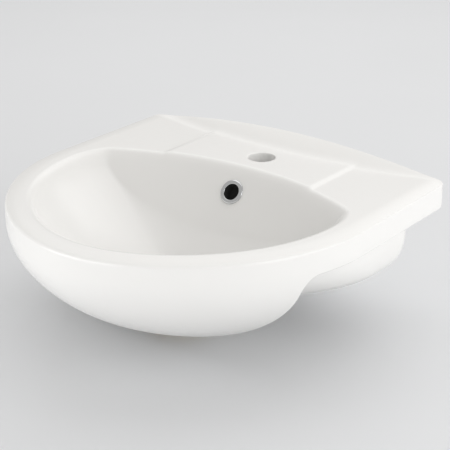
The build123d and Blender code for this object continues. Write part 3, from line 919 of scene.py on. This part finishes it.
    def shell_underside(self, skin: Skin) -> None:
        """Outside of the bowl, the boss round the outlet and the rib of the duct.

        Args:
            skin: Mesh to add to.
        """
        angles = np.linspace(0.0, math.pi, 120)
        heights = np.linspace(17.9, -93.9, 60)[:, None]
        shell = self.bowl.point(angles[None], heights, 12.0)
        axis = np.array([0.0, DRAIN_Y])
        unit = np.stack([np.sin(angles), np.cos(angles)], axis=1)
        boss = [lift(axis + unit * radius, height)
                for radius, height in ((42.5, -94.0), (42.0, -96.0), (42.0, -110.5), (41.3, -112.3),
                                       (39.5, -113.0), (24.0, -113.0))]
        skin.grid(mirrored(np.concatenate([shell, np.stack(boss)])))
        profile = np.array([(-119.0, 15.0), (-91.0, 19.0), (-158.0, -76.0), (-180.0, -107.0),
                            (-184.0, -112.5), (-197.0, -112.5), (-197.0, -90.0), (-184.0, -80.0)])
        centre = profile.mean(axis=0)
        away = profile - centre
        rows = []
        for x, inset in ((-21.0, 0.0), (-21.0, 1.6), (-20.6, 0.5), (-19.0, 0.0),
                         (19.0, 0.0), (20.6, 0.5), (21.0, 1.6), (21.0, 0.0)):
            shown = 0.0 if abs(x) == 21.0 and inset == 0.0 else 1.0
            ring = centre + shown * away * (1 - inset / np.linalg.norm(away, axis=1))[:, None]
            rows.append(np.concatenate([np.full((len(ring), 1), x), ring], axis=1))
        skin.grid(np.stack(rows), closed=False)

    def duct_shade_liner(self) -> bpy.types.Object:
        """Dark pocket behind the overflow ring: a near-black sleeve of painted shade inside its bore.

        Returns:
            The piece: a blind sleeve that runs back along the ring's axis.
        """
        return Lathe("overflow_duct_painted_shade", OVERFLOW_AXIS, [
            (10.45, 0.4), (10.45, -11.1), (10.0, -11.5), (0.01, -11.6),
        ], 64).build()


@dataclass(frozen=True)
class Placement:
    """Where a turned piece's axis starts and points."""

    origin: tuple[float, float, float]
    direction: tuple[float, float, float]


OVERFLOW_AXIS = Placement((0.0, -130.62, 7.0), (0.0, -1.0, 0.71))
DRAIN_AXIS = Placement((0.0, DRAIN_Y, 0.0), (0.0, 0.0, 1.0))


@dataclass
class Lathe:
    """Profile turned about an axis; close pairs of points hold its edges crisp."""

    name: str
    placement: Placement
    profile: list[tuple[float, float]]
    segments: int

    def build(self) -> bpy.types.Object:
        """Turn the profile.

        Returns:
            The piece.
        """
        out = np.array(self.placement.direction) / np.linalg.norm(self.placement.direction)
        side = np.array([1.0, 0.0, 0.0])
        up = np.cross(out, side)
        turn = np.linspace(0.0, 2 * math.pi, self.segments, endpoint=False)
        radial = np.cos(turn)[:, None] * side + np.sin(turn)[:, None] * up
        rows = [np.array(self.placement.origin) + radial * radius + out * height
                for radius, height in self.profile]
        skin = Skin(self.name)
        skin.grid(np.stack(rows))
        return skin.build()


def rounded(profile: list[tuple[float, float, float]]) -> list[tuple[float, float]]:
    """Round the corners of a profile.

    Args:
        profile: Radius, height and rounding of each corner.

    Returns:
        Profile with five points at each rounded corner.
    """
    made: list[tuple[float, float]] = []
    points = [np.array(p[:2]) for p in profile]
    for i, (radius, height, soft) in enumerate(profile):
        if soft <= 0 or i in (0, len(profile) - 1):
            made.append((radius, height))
            continue
        legs = []
        for other in (points[i - 1], points[i + 1]):
            leg = other - points[i]
            length = np.linalg.norm(leg)
            legs.append(points[i] + leg / length * min(soft, 0.45 * length))
        for t in np.linspace(0.0, 1.0, 6):
            spot = (1 - t) ** 2 * legs[0] + 2 * t * (1 - t) * points[i] + t**2 * legs[1]
            made.append((float(spot[0]), float(spot[1])))
    return made


@dataclass
class OverflowTrim:
    """Chrome ring on the bowl's back wall."""

    material: bpy.types.Material

    def build(self) -> None:
        """Turn the ring: a rounded flange and a sleeve that reaches into the hole."""
        piece = Lathe("overflow_trim", OVERFLOW_AXIS, rounded([
            (15.9, 0.0, 0.0), (15.9, 1.6, 1.2), (13.6, 2.6, 1.8), (10.5, 2.0, 0.9), (10.5, -11.0, 0.3),
            (11.4, -11.0, 0.3), (11.8, -9.5, 0.3), (11.8, 0.0, 0.0), (15.9, 0.0, 0.0),
        ]), 128).build()
        dress(piece, self.material)
        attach(piece, Body.BASIN.value)
        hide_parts("overflow_ring")


@dataclass
class ClickWaste:
    """Moving look of the click waste: the plug's cap and the spring."""

    chrome: bpy.types.Material
    steel: bpy.types.Material

    wire_radius = 0.33
    coil_radius = 4.1
    coils = 5
    coil_floor = -119.8
    coil_ends = (-119.33, -107.77)
    coil_keep = 0.35

    def build(self) -> None:
        """Make the cap and the spring."""
        self.cap()
        self.spring()

    def cap(self) -> None:
        """Turn the plug's cap with its spigot."""
        crown = [(26.2 * math.sin(t) / math.sin(1.0), -74.0 + 2.4 * (1 - (math.sin(t) / math.sin(1.0)) ** 2))
                 for t in np.linspace(1.0, 0.0, 16)]
        crown[-1] = (0.01, -71.6)
        piece = Lathe("plug_cap_skin", DRAIN_AXIS, rounded([
            (0.01, -76.2, 0.0), (14.0, -76.2, 0.0), (14.0, -80.7, 0.4), (5.5, -80.7, 0.3), (5.5, -86.2, 0.4),
            (3.1, -86.2, 0.2), (3.1, -77.5, 0.0),
        ])[1:] + rounded([
            (3.1, -77.5, 0.0), (3.0, -77.0, 0.0), (14.0, -76.2, 0.0), (26.5, -76.2, 0.6), (26.5, -74.0, 0.8),
            crown[1] + (0.0,),
        ]) + crown[2:], 128).build()
        dress(piece, self.chrome)
        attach(piece, Body.PLUG.value)
        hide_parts("plug_cap")

    def spring(self) -> None:
        """Wind the spring, which is attached to the basin."""
        turn = np.linspace(0.0, 2 * math.pi * self.coils, 48 * self.coils + 1)
        outward = np.stack([np.cos(turn), np.sin(turn), np.zeros_like(turn)], axis=1)
        middle = self.coil_radius * outward + np.array([0.0, DRAIN_Y, 0.0])
        middle[:, 2] = np.linspace(*self.coil_ends, len(turn))
        round_wire = np.linspace(0.0, 2 * math.pi, 10, endpoint=False)[None, :, None]
        wire = middle[:, None] + self.wire_radius * (
            np.cos(round_wire) * outward[:, None] + np.sin(round_wire) * np.array([0.0, 0.0, 1.0]))
        ends = np.repeat(middle[:, None], wire.shape[1], axis=1)
        skin = Skin("click_spring_wire")
        skin.grid(np.concatenate([ends[:1], wire, ends[-1:]]))
        piece = skin.build()
        dress(piece, self.steel)
        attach(piece, Body.BASIN.value)
        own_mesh(piece)
        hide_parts("click_spring")


class Studio:
    """Pale floor, soft light and the camera at the photograph's angle."""

    azimuth = math.radians(36.75)
    elevation = math.radians(21.98)
    distance = 1.8549
    target = (0.0144, -0.16435, -0.02283)
    lens = 120.0
    floor_height = -0.1395

    def build(self) -> None:
        """Add floor, lamps, world and camera."""
        self.floor()
        self.world()
        self.lamp("key", (1.8, -0.1, 0.4), (1.6, 1.6), 18.0)
        self.lamp("fill", (-0.6, -1.6, -0.04), (1.6, 0.2), 9.5)
        self.lamp("top", (-0.5, 0.9, 1.8), (2.8, 2.8), 22.0)
        self.camera()

    def floor(self) -> None:
        """Large disc that stays pale under the camera."""
        mesh = bpy.data.meshes.new("floor")
        turn = np.linspace(0.0, 2 * math.pi, 96, endpoint=False)
        points = np.stack([12 * np.cos(turn), 12 * np.sin(turn), np.full(96, self.floor_height)], axis=1)
        mesh.from_pydata(points.tolist(), [], [list(range(96))])
        floor = bpy.data.objects.new("floor", mesh)
        bpy.context.scene.collection.objects.link(floor)
        dress(floor, Finish("pale_floor", (0.76, 0.77, 0.785), 0.005, 0.9, grain_scale=60.0, bump=0.0,
                            specular=0.1).material())

    def world(self) -> None:
        """Even pale light from all round."""
        world = bpy.data.worlds.new("studio")
        world.use_nodes = True
        back = world.node_tree.nodes["Background"]
        back.inputs["Color"].default_value = (1.0, 0.985, 0.965, 1.0)
        back.inputs["Strength"].default_value = 0.59
        bpy.context.scene.world = world
        bpy.context.scene.view_settings.view_transform = "Standard"

    def lamp(self, name: str, place: tuple[float, float, float], size: tuple[float, float],
             power: float) -> None:
        """Soft lamp aimed at the basin.

        Args:
            name: Its name.
            place: Where it hangs, in metres.
            size: Width and height, in metres.
            power: Watts.
        """
        data = bpy.data.lights.new(name, "AREA")
        data.shape = "RECTANGLE"
        data.size, data.size_y = size
        data.energy = power
        lamp = bpy.data.objects.new(name, data)
        bpy.context.scene.collection.objects.link(lamp)
        self.aim(lamp, np.array(place), np.array(self.target))

    @staticmethod
    def aim(thing: bpy.types.Object, place: np.ndarray, target: np.ndarray) -> None:
        """Place an object and turn its -Z axis to the target.

        Args:
            thing: Lamp or camera.
            place: Its position.
            target: Point that it looks at.
        """
        back = place - target
        back = back / np.linalg.norm(back)
        right = np.cross([0.0, 0.0, 1.0], back)
        right = right / np.linalg.norm(right)
        up = np.cross(back, right)
        columns = np.eye(4)
        columns[:3, 0], columns[:3, 1], columns[:3, 2], columns[:3, 3] = right, up, back, place
        thing.matrix_world = Matrix(columns.tolist())

    def camera(self) -> None:
        """Camera where the photograph was taken from."""
        data = bpy.data.cameras.new("camera")
        data.lens = self.lens
        data.sensor_width = 36.0
        camera = bpy.data.objects.new("camera", data)
        bpy.context.scene.collection.objects.link(camera)
        away = np.array([math.sin(self.azimuth) * math.cos(self.elevation),
                         -math.cos(self.azimuth) * math.cos(self.elevation), math.sin(self.elevation)])
        target = np.array(self.target)
        self.aim(camera, target + self.distance * away, target)
        bpy.context.scene.camera = camera


PACKED = {
    "waste_body": CHROME,
    "flange_seal": GREY_RUBBER,
    "cone_washer": BLACK_RUBBER,
    "slip_washer": PLASTIC,
    "backnut": BRASS,
    "plug_seal": BLACK_RUBBER,
    "cartridge_sleeve": PLASTIC,
    "guide_collar": PLASTIC,
    "plunger": BRASS,
    "click_rotor": PLASTIC,
}


def main() -> None:
    """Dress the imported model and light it."""
    logging.basicConfig(level=logging.INFO)
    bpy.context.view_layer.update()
    made: dict[str, bpy.types.Material] = {}
    for node, finish in PACKED.items():
        if finish.name not in made:
            made[finish.name] = finish.material()
        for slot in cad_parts[node].material_slots:
            slot.material = made[finish.name]
    chrome = made[CHROME.name]
    Ceramic(GLAZE.material(), DUCT_PAINTED_SHADE.material()).build()
    OverflowTrim(chrome).build()
    ClickWaste(chrome, STEEL.material()).build()
    Studio().build()


if __name__ == "__main__":
    main()
